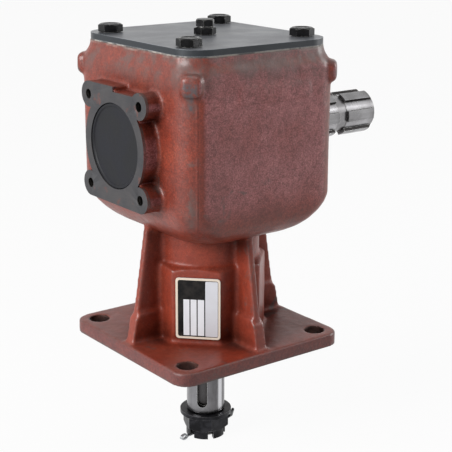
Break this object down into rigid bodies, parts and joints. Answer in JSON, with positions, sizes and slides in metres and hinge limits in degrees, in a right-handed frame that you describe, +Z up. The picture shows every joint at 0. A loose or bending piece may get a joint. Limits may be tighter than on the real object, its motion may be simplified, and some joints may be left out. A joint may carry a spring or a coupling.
{
  "type": "right-angle bevel gearbox",
  "caption": "Right-angle bevel gearbox: box-shaped cast housing on a ribbed flanged pedestal, splined input shaft to one side, keyed output shaft below.",
  "frame": {"origin": "output shaft axis at the underside of the mounting flange", "axes": "+Z up along the output shaft axis towards the cover, +X along the input shaft towards its splined end"},
  "size_m": [0.2404, 0.1582, 0.3328],
  "materials": {
    "housing_paint": "matt red-oxide primer on rough cast iron",
    "cover_steel": "oiled dark grey plate",
    "gasket_sealant": "pale sealing sheet",
    "black_steel": "black oxide",
    "zinc_steel": "bright zinc plate",
    "plate_metal": "thin satin plate with plain ruled fields",
    "black_rubber": "rubber-covered cap",
    "seal_rubber": "moulded lip seal",
    "spring_steel": "phosphated spring steel",
    "machined_steel": "bright turned and milled",
    "gear_steel": "oiled case-hardened teeth",
    "bearing_steel": "ground",
    "cage_steel": "pressed sheet"
  },
  "bodies": {
    "housing_body": {"housing": "housing_paint", "cover_plate": "cover_steel", "cover_gasket": "gasket_sealant", "cover_bolts": "black_steel", "breather_plug": "black_steel", "breather_cap": "black_steel", "level_plug": "zinc_steel", "data_plate": "plate_metal", "end_cap": "black_rubber", "input_oil_seal": "seal_rubber", "cap_side_retaining_ring": "spring_steel", "drive_side_retaining_ring": "spring_steel", "lower_retaining_ring": "spring_steel", "output_oil_seal": "seal_rubber", "input_cap_side_bearing_cup": "bearing_steel", "input_drive_side_bearing_cup": "bearing_steel", "output_upper_bearing_cup": "bearing_steel", "output_lower_bearing_cup": "bearing_steel"},
    "input_line": {"input_shaft": "machined_steel", "crown_gear": "gear_steel", "crown_gear_key": "machined_steel", "crown_gear_spacer": "machined_steel", "input_cap_side_bearing_cone": "bearing_steel", "input_drive_side_bearing_cone": "bearing_steel"},
    "output_line": {"output_shaft": "machined_steel", "pinion_gear": "gear_steel", "pinion_key": "machined_steel", "pinion_retaining_ring": "spring_steel", "output_upper_bearing_cone": "bearing_steel", "output_lower_bearing_cone": "bearing_steel", "flat_washer": "black_steel", "castle_nut": "black_steel", "cotter_pin": "zinc_steel"},
    "input_cap_side_roller_set": {"input_cap_side_bearing_cage": "cage_steel", "input_cap_side_bearing_rollers": "bearing_steel"},
    "input_drive_side_roller_set": {"input_drive_side_bearing_cage": "cage_steel", "input_drive_side_bearing_rollers": "bearing_steel"},
    "output_upper_roller_set": {"output_upper_bearing_cage": "cage_steel", "output_upper_bearing_rollers": "bearing_steel"},
    "output_lower_roller_set": {"output_lower_bearing_cage": "cage_steel", "output_lower_bearing_rollers": "bearing_steel"}
  },
  "joints": [
    {"name": "input_spin", "type": "hinge", "parent": "housing_body", "child": "input_line", "pos_m": [0, 0, 0.162], "axis": [1, 0, 0], "continuous": true},
    {"name": "output_spin", "type": "hinge", "parent": "housing_body", "child": "output_line", "pos_m": [0, 0, 0.1], "axis": [0, 0, 1], "continuous": true},
    {"name": "input_cap_side_rollers_spin", "type": "hinge", "parent": "housing_body", "child": "input_cap_side_roller_set", "pos_m": [0, 0, 0.162], "axis": [1, 0, 0], "continuous": true},
    {"name": "input_drive_side_rollers_spin", "type": "hinge", "parent": "housing_body", "child": "input_drive_side_roller_set", "pos_m": [0, 0, 0.162], "axis": [1, 0, 0], "continuous": true},
    {"name": "output_upper_rollers_spin", "type": "hinge", "parent": "housing_body", "child": "output_upper_roller_set", "pos_m": [0, 0, 0.1], "axis": [0, 0, 1], "continuous": true},
    {"name": "output_lower_rollers_spin", "type": "hinge", "parent": "housing_body", "child": "output_lower_roller_set", "pos_m": [0, 0, 0.1], "axis": [0, 0, 1], "continuous": true}
  ],
  "couplings": [
    {"joint": "output_spin", "follows": "input_spin", "ratio": 1.9333},
    {"joint": "input_cap_side_rollers_spin", "follows": "input_spin", "ratio": 0.4337},
    {"joint": "input_drive_side_rollers_spin", "follows": "input_spin", "ratio": 0.4337},
    {"joint": "output_upper_rollers_spin", "follows": "input_spin", "ratio": 0.83153},
    {"joint": "output_lower_rollers_spin", "follows": "input_spin", "ratio": 0.83153}
  ]
}
